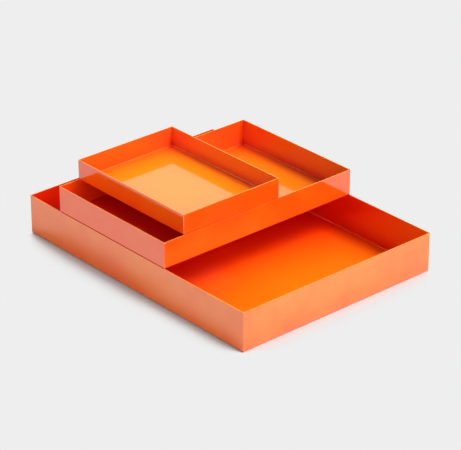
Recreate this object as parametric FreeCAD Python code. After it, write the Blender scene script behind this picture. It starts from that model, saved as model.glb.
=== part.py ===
import FreeCAD, Part
import os
from math import sqrt

# Three open trays of painted steel sheet, stacked crosswise. Each tray lies across the one
# below it, on the rims of its two side walls. All sizes are in millimetres.
#
# X runs along the large tray, Y across it and Z up. The origin is on the underside of the
# large tray, at its centre.

# Sheet and folds, the same in all three trays
SHEET = 1.2             # thickness of the sheet with its paint
BEND_INSIDE = 1.5       # inside radius of the fold between floor and wall
CORNER_ROUND = 1.2      # outside radius of the closed upright corners
RIM_ROUND = 0.3         # radius of both edges of the rim
RELIEF_MARGIN = 0.2     # from the hole in each corner of the floor to the walls beside it

# Large tray, outside sizes
LARGE_LENGTH = 400.0
LARGE_WIDTH = 300.0
LARGE_HEIGHT = 52.0

# Medium tray, outside sizes. Its length is the large tray's width, which it spans.
MEDIUM_WIDTH = 200.0
MEDIUM_HEIGHT = 35.0
MEDIUM_SETBACK = 61.0   # from the large tray's left end to the medium tray's long wall

# Small tray, outside sizes. Its length is the medium tray's width, which it spans.
SMALL_WIDTH = 150.0
SMALL_HEIGHT = 27.0
SMALL_SETBACK = 30.0    # from the medium tray's front end to the small tray's long wall

# How near a tray's fold comes to the rim that it rests on
REST_CLEARANCE = 0.02

BEND_OUTSIDE = BEND_INSIDE + SHEET
RELIEF_RADIUS = BEND_INSIDE - RELIEF_MARGIN
RIM_RADIUS = min(RIM_ROUND, 0.45 * SHEET)


def trough(length, span, bottom, top, radius):
    """Block along X, centred, whose two bottom edges along its length are rounded."""
    half = span / 2
    lean = radius * (1 - sqrt(0.5))
    left_bottom = FreeCAD.Vector(-length / 2, -half + radius, bottom)
    right_bottom = FreeCAD.Vector(-length / 2, half - radius, bottom)
    right_middle = FreeCAD.Vector(-length / 2, half - lean, bottom + lean)
    right_side = FreeCAD.Vector(-length / 2, half, bottom + radius)
    right_top = FreeCAD.Vector(-length / 2, half, top)
    left_top = FreeCAD.Vector(-length / 2, -half, top)
    left_side = FreeCAD.Vector(-length / 2, -half, bottom + radius)
    left_middle = FreeCAD.Vector(-length / 2, -half + lean, bottom + lean)
    outline = Part.Wire([
        Part.LineSegment(left_bottom, right_bottom).toShape(),
        Part.Arc(right_bottom, right_middle, right_side).toShape(),
        Part.LineSegment(right_side, right_top).toShape(),
        Part.LineSegment(right_top, left_top).toShape(),
        Part.LineSegment(left_top, left_side).toShape(),
        Part.Arc(left_side, left_middle, left_bottom).toShape(),
    ])
    return Part.Face(outline).extrude(FreeCAD.Vector(length, 0, 0))


def folded_block(length, width, bottom, top, radius):
    """Block with all four bottom edges rounded. The rounds meet in a mitre at each corner."""
    along = trough(length, width, bottom, top, radius)
    across = trough(width, length, bottom, top, radius)
    across.rotate(FreeCAD.Vector(0, 0, 0), FreeCAD.Vector(0, 0, 1), 90)
    return along.common(across)


def round_corners(block, length, width, height):
    """Trims a block to a plan with rounded corners."""
    plan = Part.makeBox(length, width, height, FreeCAD.Vector(-length / 2, -width / 2, 0))
    uprights = [edge for edge in plan.Edges if is_upright(edge)]
    return block.common(plan.makeFillet(CORNER_ROUND, uprights))


def is_upright(edge):
    """Whether an edge runs along Z."""
    first, last = edge.Vertexes[0].Point, edge.Vertexes[-1].Point
    return abs(first.x - last.x) < 1e-6 and abs(first.y - last.y) < 1e-6


def lies_at(edge, height):
    """Whether an edge lies level, at this height."""
    box = edge.BoundBox
    return abs(box.ZMin - height) < 1e-6 and abs(box.ZMax - height) < 1e-6


def relief_holes(length, width):
    """One hole at each corner of the floor, centred where the folds start from the flat."""
    holes = []
    for side_x in (-1, 1):
        for side_y in (-1, 1):
            centre_x = side_x * (length / 2 - BEND_OUTSIDE)
            centre_y = side_y * (width / 2 - BEND_OUTSIDE)
            start = FreeCAD.Vector(centre_x, centre_y, -SHEET)
            holes.append(Part.makeCylinder(RELIEF_RADIUS, BEND_OUTSIDE + SHEET, start))
    return holes


def tray(length, width, height):
    """One tray, folded up from a sheet. Its length is along X and its underside at Z = 0."""
    outside = folded_block(length, width, 0, height, BEND_OUTSIDE)
    outside = round_corners(outside, length, width, height)
    inside = folded_block(length - 2 * SHEET, width - 2 * SHEET, SHEET, height + SHEET, BEND_INSIDE)
    shell = outside.cut(inside)
    rim_edges = [edge for edge in shell.Edges if lies_at(edge, height)]
    shell = shell.makeFillet(RIM_RADIUS, rim_edges)
    return shell.cut(relief_holes(length, width))


def drop_into_rims():
    """How far a tray's underside comes to rest below the rims that its folds settle between.

    The outer faces of the two trays are flush, so the rounded fold above meets the rounded
    inner edge of the rim below. The centres of the two rounds are one radius sum apart.
    """
    sideways = BEND_OUTSIDE - (SHEET - RIM_RADIUS)
    apart = BEND_OUTSIDE + RIM_RADIUS + REST_CLEARANCE
    upwards = sqrt(apart ** 2 - sideways ** 2)
    return RIM_RADIUS + BEND_OUTSIDE - upwards


def save(shape, name):
    """Writes one tray as a single solid and prints its size."""
    solid = shape.Solids[0]
    solid.exportStep(os.path.join("parts", name + ".step"))
    box = solid.BoundBox
    print(name, "solids", len(shape.Solids), "valid", solid.isValid(),
          "x %.2f %.2f y %.2f %.2f z %.2f %.2f" % (box.XMin, box.XMax, box.YMin, box.YMax,
                                                  box.ZMin, box.ZMax),
          "volume %.0f" % solid.Volume)


os.makedirs("parts", exist_ok=True)

medium_length = LARGE_WIDTH
small_length = MEDIUM_WIDTH
medium_base = LARGE_HEIGHT - drop_into_rims()
small_base = medium_base + MEDIUM_HEIGHT - drop_into_rims()
medium_centre_x = -LARGE_LENGTH / 2 + MEDIUM_SETBACK + MEDIUM_WIDTH / 2
small_centre_y = -medium_length / 2 + SMALL_SETBACK + SMALL_WIDTH / 2

large_tray = tray(LARGE_LENGTH, LARGE_WIDTH, LARGE_HEIGHT)

medium_tray = tray(medium_length, MEDIUM_WIDTH, MEDIUM_HEIGHT)
medium_tray.rotate(FreeCAD.Vector(0, 0, 0), FreeCAD.Vector(0, 0, 1), 90)
medium_tray.translate(FreeCAD.Vector(medium_centre_x, 0, medium_base))

small_tray = tray(small_length, SMALL_WIDTH, SMALL_HEIGHT)
small_tray.translate(FreeCAD.Vector(medium_centre_x, small_centre_y, small_base))

save(large_tray, "large_tray")
save(medium_tray, "medium_tray")
save(small_tray, "small_tray")
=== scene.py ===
# %% [markdown]
# # Three lacquered trays, stacked crosswise
#
# The object is three open trays, each folded up from one sheet of steel and sprayed with a glossy
# orange lacquer. The construction model already holds their true shape: floors, folded walls, round
# folds, closed corners and rims. So this lesson doesn't model them again. It loads them, gives them
# a lacquer that behaves like the real one, and sets up the floor, the light and the camera.

# %% Load the trays
import math

import bpy
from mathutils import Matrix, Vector


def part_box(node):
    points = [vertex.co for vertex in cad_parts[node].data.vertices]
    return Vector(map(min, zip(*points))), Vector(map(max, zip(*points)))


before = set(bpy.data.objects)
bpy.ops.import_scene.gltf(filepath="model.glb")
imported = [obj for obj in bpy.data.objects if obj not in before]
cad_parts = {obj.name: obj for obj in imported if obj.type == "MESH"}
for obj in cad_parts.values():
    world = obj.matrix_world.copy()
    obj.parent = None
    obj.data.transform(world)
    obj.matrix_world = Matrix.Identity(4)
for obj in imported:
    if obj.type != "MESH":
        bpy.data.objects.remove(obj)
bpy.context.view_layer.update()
TRAYS = ["large_tray", "medium_tray", "small_tray"]
for tray in TRAYS:
    low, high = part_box(tray)
    print(tray, "size in mm:", [round(1000 * (b - a), 2) for a, b in zip(low, high)])

# %% [markdown]
# ## Small helpers for materials
#
# A material is a graph of nodes. Building one takes steps that repeat: add a node, set its sockets,
# join two sockets, and do a little arithmetic on the way. Helpers keep those short, so that the cells
# below read like a recipe.

# %% Helpers for node graphs


def new_material(title):
    """An empty material that uses nodes. Returns the material and its node tree."""
    material = bpy.data.materials.new(title)
    material.use_nodes = True
    material.node_tree.nodes.clear()
    return material, material.node_tree


def add(tree, kind, **values):
    """Adds a node, and sets its input sockets and its properties by name."""
    node = tree.nodes.new(kind)
    for key, value in values.items():
        socket = node.inputs.get(key)
        if socket is not None:
            socket.default_value = value
        else:
            setattr(node, key, value)
    return node


def join(tree, source, target):
    """Joins an output socket to an input socket."""
    tree.links.new(source, target)


print("helpers to build a material from nodes are ready")

# %% Helpers for arithmetic with nodes


def calculate(tree, operation, first, second):
    """A Math node of two inputs, each a socket or a number."""
    node = add(tree, "ShaderNodeMath", operation=operation)
    for socket, value in zip(node.inputs, (first, second)):
        if isinstance(value, (int, float)):
            socket.default_value = value
        else:
            join(tree, value, socket)
    return node.outputs["Value"]


def ramp(tree, value, reach, low=0.0, high=1.0):
    """A smooth step from low to high while the value runs from one end of its reach to the other."""
    node = add(tree, "ShaderNodeMapRange", interpolation_type="SMOOTHSTEP")
    ends = {"From Min": reach[0], "From Max": reach[1], "To Min": low, "To Max": high}
    for title, number in ends.items():
        node.inputs[title].default_value = number
    join(tree, value, node.inputs["Value"])
    return node.outputs["Result"]


print("helpers to calculate with nodes are ready")

# %% [markdown]
# ## How open a place is
#
# A strong orange has a habit. Light that falls into a tray bounces between its walls, and each bounce
# takes more of the yellow out of it. So an open floor looks amber, and the walls and the hidden
# corners go towards deep red. The renderer bounces light too, but with one flat orange it gives less
# of this than the photo shows, because the photo is lit so brightly that its red is full in most lit
# places, and its shadows are crushed.
#
# This bounce light and shade is painted into the colour. It could be painted on by hand, but then it
# would be wrong as soon as a tray is placed differently. An Ambient Occlusion node is the better way:
# it measures how much of the room around a place is open, from 0 to 1, and the painted light and shade
# follow that.

# %% Measures of a place


def openness(tree, distance, own_only):
    """How open the room is within this distance. Either all objects count, or only its own tray."""
    node = add(tree, "ShaderNodeAmbientOcclusion", Distance=distance, only_local=own_only)
    return node.outputs["AO"]


def upward(tree):
    """1 on a floor, 0 on a wall or an underside, and in between on the fold that joins them."""
    place = add(tree, "ShaderNodeNewGeometry")
    parts = add(tree, "ShaderNodeSeparateXYZ")
    clamp = add(tree, "ShaderNodeClamp")
    join(tree, place.outputs["Normal"], parts.inputs["Vector"])
    join(tree, parts.outputs["Z"], clamp.inputs["Value"])
    return clamp.outputs["Result"]


print("measures of a place are ready")

# %% [markdown]
# ## Colour and painted shade inside the trays
#
# Inside, a colour ramp of painted light and shade runs from a dark red in the tightest corners, by a
# pure red, to amber on open floors. A floor's place on the ramp is its openness, so a floor is painted
# lighter where it is open and darker where walls or another tray shade it. A wall's place is nearly
# fixed and set for each tray, as painted shade, because its colour comes mostly from the light of what
# it faces, and only a little from how high up it is. A second, short measure paints shade into the last
# centimetre before an inner corner, where two walls and the floor meet.

# %% Inside colour
# Painted light and shade: the dark red stops stand for shade in corners, the amber stop for light on
# open floors.
INSIDE_COAT_AND_SHADE_STOPS = (
    (0.00, (0.40, 0.000, 0.001, 1.0)),
    (0.09, (0.85, 0.000, 0.002, 1.0)),
    (0.20, (0.90, 0.034, 0.002, 1.0)),
    (0.55, (0.99, 0.155, 0.004, 1.0)),
    (1.00, (0.99, 0.400, 0.006, 1.0)),
)
# Painted shade on the inner walls: each tray's walls get their own place on the ramp, for the light
# that reaches them.
WALL_SHADE_LEVEL = {"large_tray": 0.10, "medium_tray": 0.24, "small_tray": 0.26}
WALL_SLOPE = 0.15
# Painted shade in the last centimetre before an inner corner.
CORNER_SHADE_DISTANCE = 0.012
CORNER_SHADE_RANGE = (0.20, 0.60)
CORNER_SHADE_SHARE = 0.12


def colour_stops(tree, value, stops):
    """A colour that runs through fixed stops as the value grows."""
    node = add(tree, "ShaderNodeValToRGB")
    elements = node.color_ramp.elements
    for element, (position, colour) in zip((elements[0], elements[1]), (stops[0], stops[-1])):
        element.position, element.color = position, colour
    for position, colour in stops[1:-1]:
        elements.new(position).color = colour
    join(tree, value, node.inputs["Fac"])
    return node.outputs["Color"]


def inside_colour_and_shade(tree, up, wall, open_room, wall_shade_level):
    """Painted light and shade: amber on open floors, orange red on walls and deep red in the corners.
    """
    # Painted shade at inner corners: the colour darkens where the room closes in.
    corner = openness(tree, CORNER_SHADE_DISTANCE, False)
    corner_shade = ramp(tree, corner, CORNER_SHADE_RANGE, CORNER_SHADE_SHARE, 1.0)
    # Floors are painted lighter where they are open, and darker where a wall or another tray shades
    # them.
    on_floor = calculate(tree, "MULTIPLY", up, open_room)
    rise = calculate(tree, "MULTIPLY", open_room, WALL_SLOPE)
    on_wall = calculate(tree, "MULTIPLY", wall, calculate(tree, "ADD", rise, wall_shade_level))
    both = calculate(tree, "ADD", on_floor, on_wall)
    return colour_stops(tree, calculate(tree, "MULTIPLY", both, corner_shade), INSIDE_COAT_AND_SHADE_STOPS)


print("inside colour has", len(INSIDE_COAT_AND_SHADE_STOPS), "stops")

# %% [markdown]
# ## Colour outside, with painted light and shade
#
# The outer faces of the walls have an orange of their own. Only its green part varies: in soft clouds,
# as the coat of a sprayed part is a little thicker here and thinner there, and with painted shade
# towards the surface below, where less light comes in. In the photo the large tray's outer faces look
# yellower than those of the other two, because more light falls on them, so each tray has its own
# amount of green, which paints that light in. One photo can't tell whether the lacquer differs or only
# the light on it.
#
# A node can't know by itself which face is an outer one. But an outer wall sees nothing of its own
# tray, while an inner wall sees the floor and the other walls. So the openness that counts only the
# own tray tells them apart.

# %% Outside colour
COAT_RED = 0.99
COAT_BLUE = 0.004
# Each tray's green also paints in light: the large tray's outer faces are lit more, so they are painted
# yellower.
COAT_GREEN_AND_LIGHT = {"large_tray": 0.200, "medium_tray": 0.112, "small_tray": 0.108}
CLOUD_RANGE = (0.30, 0.70)
CLOUD_DEPTH = 0.16
# Painted shade: the outer faces turn a deeper red towards the surface below.
FOOT_SHADE_RANGE = (0.45, 0.72)
FOOT_SHADE_SHARE = 0.68
OUTSIDE_RANGE = (0.70, 0.95)


def outside_colour_and_shade(tree, clouds, open_room, green):
    """An orange with soft clouds, with painted shade deeper towards the surface below, and a green for
    each tray that also paints in light.
    """
    cloud = ramp(tree, clouds, CLOUD_RANGE, 1 - CLOUD_DEPTH, 1 + CLOUD_DEPTH)
    # Painted shade towards the surface below, where less light comes in.
    foot_shade = ramp(tree, open_room, FOOT_SHADE_RANGE, FOOT_SHADE_SHARE, 1.0)
    share = calculate(tree, "MULTIPLY", cloud, foot_shade)
    coat = add(tree, "ShaderNodeCombineColor", Red=COAT_RED, Blue=COAT_BLUE)
    join(tree, calculate(tree, "MULTIPLY", share, green), coat.inputs["Green"])
    return coat.outputs["Color"]


def is_outside(tree, wall, distance):
    """1 on the outer face of a wall, 0 inside a tray and on its floor."""
    own = ramp(tree, openness(tree, distance, True), OUTSIDE_RANGE)
    return calculate(tree, "MULTIPLY", wall, own)


print("outside green of each tray:", COAT_GREEN_AND_LIGHT)

# %% [markdown]
# ## The lacquer itself
#
# Sprayed lacquer is a deep colour under a hard, clear and very smooth skin. The skin mirrors the walls
# and the surroundings, more strongly at a low angle, so it is one glossy shader with a low roughness
# and a high index of refraction, and not a metal: a mirror image in it isn't orange. The surface isn't
# quite flat: spray lacquer dries with a fine ripple, called orange peel, so that a mirrored edge wavers
# a little. That is a fine noise in the bump. The clouds of the coat also make the gloss a little softer
# in places.

# %% Lacquer material
ROOM_DISTANCE = 0.15
CLOUDS = {"Scale": 16.0, "Detail": 3.0, "Roughness": 0.55}
ROUGHNESS = (0.05, 0.10)
LACQUER_IOR = 2.1
RIPPLE = {"Scale": 260.0, "Detail": 2.0}
RIPPLE_BUMP = {"Strength": 0.03, "Distance": 0.0004}
FIRST_COLOUR, SECOND_COLOUR, MIXED_COLOUR = 6, 7, 2


def lacquer_colour_and_shade(tree, clouds, green, wall_shade_level):
    """The inside colour and the outside colour, each with painted light and shade, each in its own
    place.
    """
    up = upward(tree)
    wall = calculate(tree, "SUBTRACT", 1.0, up)
    open_room = openness(tree, ROOM_DISTANCE, False)
    mix = add(tree, "ShaderNodeMix", data_type="RGBA")
    inside = inside_colour_and_shade(tree, up, wall, open_room, wall_shade_level)
    outside = outside_colour_and_shade(tree, clouds, open_room, green)
    join(tree, is_outside(tree, wall, ROOM_DISTANCE), mix.inputs["Factor"])
    join(tree, inside, mix.inputs[FIRST_COLOUR])
    join(tree, outside, mix.inputs[SECOND_COLOUR])
    return mix.outputs[MIXED_COLOUR]


def lacquer(title, green, wall_shade_level):
    """Glossy orange lacquer with painted shade deeper in the recesses, with slight clouds and a fine
    ripple.
    """
    material, tree = new_material(title)
    place = add(tree, "ShaderNodeTexCoord")
    noise = add(tree, "ShaderNodeTexNoise", **CLOUDS)
    ripple = add(tree, "ShaderNodeTexNoise", **RIPPLE)
    bump = add(tree, "ShaderNodeBump", **RIPPLE_BUMP)
    shader = add(tree, "ShaderNodeBsdfPrincipled", IOR=LACQUER_IOR)
    output = add(tree, "ShaderNodeOutputMaterial")
    clouds = noise.outputs["Fac"]
    colour = lacquer_colour_and_shade(tree, clouds, green, wall_shade_level)
    join(tree, place.outputs["Object"], noise.inputs["Vector"])
    join(tree, place.outputs["Object"], ripple.inputs["Vector"])
    join(tree, colour, shader.inputs["Base Color"])
    join(tree, ramp(tree, clouds, CLOUD_RANGE, *ROUGHNESS), shader.inputs["Roughness"])
    join(tree, ripple.outputs["Fac"], bump.inputs["Height"])
    join(tree, bump.outputs["Normal"], shader.inputs["Normal"])
    join(tree, shader.outputs["BSDF"], output.inputs["Surface"])
    return material


for tray in TRAYS:
    coat = lacquer(tray + "_lacquer", COAT_GREEN_AND_LIGHT[tray], WALL_SHADE_LEVEL[tray])
    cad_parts[tray].material_slots[0].material = coat
print("lacquer on", len(TRAYS), "trays")

# %% [markdown]
# ## Floor
#
# The trays stand on a plain pale surface that runs into the background without an edge. It is one
# large square plane. In the photo the background is one even grey right up to a narrow shadow along
# the trays. To get that, the plane shines with this grey to the camera and to mirror images, which
# the Light Path node tells apart from the light that falls on the trays. Near the trays, where the
# Ambient Occlusion node says that the floor is no longer open, it is a plain matt surface instead,
# which shows the real shadow and the warm light from the trays. Mirror images keep a wider stretch of
# it, because the outer walls mirror mostly the ground beside them.

# %% Floor
FLOOR_PALE = (0.62, 0.62, 0.62, 1.0)
FLOOR_SIZE = 30.0
BACKGROUND_PALE = (0.855, 0.855, 0.855, 1.0)
SHADOW_DISTANCE = 0.08
SHADOW_RANGE = (0.50, 0.70)
MIRROR_RANGE = (0.64, 1.00)
FIRST_SHADER, SECOND_SHADER = 1, 2


def background_share(tree):
    """How much of the floor is even background: all of it where it is open, for eyes and mirrors."""
    seen = add(tree, "ShaderNodeLightPath").outputs
    around = openness(tree, SHADOW_DISTANCE, False)
    mirrored = calculate(tree, "MAXIMUM", seen["Is Glossy Ray"], seen["Is Transmission Ray"])
    to_mirror = calculate(tree, "MULTIPLY", mirrored, ramp(tree, around, MIRROR_RANGE))
    to_eye = calculate(tree, "MULTIPLY", seen["Is Camera Ray"], ramp(tree, around, SHADOW_RANGE))
    return calculate(tree, "ADD", to_eye, to_mirror)


def pale_floor():
    """A plain pale plane under the trays, which isn't part of the object."""
    bpy.ops.mesh.primitive_plane_add(size=FLOOR_SIZE)
    floor = bpy.context.object
    floor.name = "studio_floor"
    material, tree = new_material("studio_floor_paper")
    paper = add(tree, "ShaderNodeBsdfDiffuse", Color=FLOOR_PALE)
    background = add(tree, "ShaderNodeEmission", Color=BACKGROUND_PALE)
    surface = add(tree, "ShaderNodeMixShader")
    output = add(tree, "ShaderNodeOutputMaterial")
    join(tree, background_share(tree), surface.inputs["Fac"])
    join(tree, paper.outputs["BSDF"], surface.inputs[FIRST_SHADER])
    join(tree, background.outputs["Emission"], surface.inputs[SECOND_SHADER])
    join(tree, surface.outputs["Shader"], output.inputs["Surface"])
    floor.data.materials.append(material)
    return floor


studio_floor = pale_floor()
print("floor", FLOOR_SIZE, "m wide")

# %% [markdown]
# ## Light
#
# The shadows in the photo tell where its light was. The back walls throw a dark wedge with a fairly
# sharp edge on the left walls, and the walls that face the camera's left get no direct light. So the
# main light is a compact softbox, high up on the right and a little behind the trays. The floors of
# the trays mirror a lit backdrop, far behind them on the left. The walls that face the front are lit
# by a low reflector, and those that face right get a soft fill.
#
# These could be area lamps. Here each is a soft-edged patch of the world, because what the lacquer
# mirrors then has no hard outline, and the same patches light the trays from any place. Together
# they light a level surface about a fifth more than a plain white sky does, and the upright faces
# less, so that a colour looks nearly as written.

# %% Light
ROOM_LEVEL = 0.13
WHITE = (1.0, 1.0, 1.0, 1.0)
LIGHTS = {
    "softbox": {"level": 20.5, "from": (0.60, 0.34, 1.00), "edge": (0.962, 0.992)},
    "backdrop": {"level": 0.66, "from": (-0.67, 0.59, 0.45), "edge": (0.75, 0.95)},
    "reflector": {"level": 3.2, "from": (-0.35, -0.94, 0.00), "edge": (0.85, 0.98)},
    "fill": {"level": 2.3, "from": (0.93, -0.16, 0.34), "edge": (0.80, 0.97)},
}


def glow(tree, view, light):
    """Light from round one direction of the room, with a soft edge between two cosines."""
    side = add(tree, "ShaderNodeVectorMath", operation="DOT_PRODUCT")
    side.inputs[1].default_value = Vector(light["from"]).normalized()
    join(tree, view, side.inputs[0])
    return ramp(tree, side.outputs["Value"], light["edge"], 0.0, light["level"])


def studio_world():
    """A dim room with patches of light in it."""
    world = bpy.data.worlds.new("studio")
    world.use_nodes = True
    tree = world.node_tree
    view = add(tree, "ShaderNodeTexCoord").outputs["Generated"]
    level = ROOM_LEVEL
    for light in LIGHTS.values():
        level = calculate(tree, "ADD", glow(tree, view, light), level)
    background = tree.nodes["Background"]
    background.inputs["Color"].default_value = WHITE
    join(tree, level, background.inputs["Strength"])
    bpy.context.scene.world = world


studio_world()
bpy.context.scene.view_settings.view_transform = "Standard"
print("lights:", ", ".join(LIGHTS))

# %% [markdown]
# ## Camera
#
# The camera was found by fitting the trays' straight edges to the photo. It is far away with a long
# lens, so that the edges are almost parallel, and it looks at a point on the floor near the middle.
# Its place is given by two angles and a distance, which are easier to read than three coordinates.

# %% Camera
PHOTO_WIDTH = 461
FOCAL_PIXELS = 2286.87
SENSOR_WIDTH = 36.0
VIEW_DEPTH = 50.0
CAMERA_AZIMUTH = math.radians(48.766)
CAMERA_ELEVATION = math.radians(26.962)
CAMERA_DISTANCE = 2.88277
CAMERA_TARGET = Vector((-0.050936, 0.050526, 0.0))


def photo_camera():
    """The camera at the photo's viewing angle."""
    data = bpy.data.cameras.new("photo_camera")
    data.sensor_fit = "HORIZONTAL"
    data.sensor_width = SENSOR_WIDTH
    data.lens = SENSOR_WIDTH * FOCAL_PIXELS / PHOTO_WIDTH
    data.clip_end = VIEW_DEPTH
    level = math.cos(CAMERA_ELEVATION)
    back = Vector((
        math.sin(CAMERA_AZIMUTH) * level,
        -math.cos(CAMERA_AZIMUTH) * level,
        math.sin(CAMERA_ELEVATION),
    ))
    camera = bpy.data.objects.new("photo_camera", data)
    camera.location = CAMERA_TARGET + back * CAMERA_DISTANCE
    camera.rotation_euler = back.to_track_quat("Z", "Y").to_euler()
    bpy.context.scene.collection.objects.link(camera)
    bpy.context.scene.camera = camera
    return data.lens


print("lens", round(photo_camera(), 1), "mm")
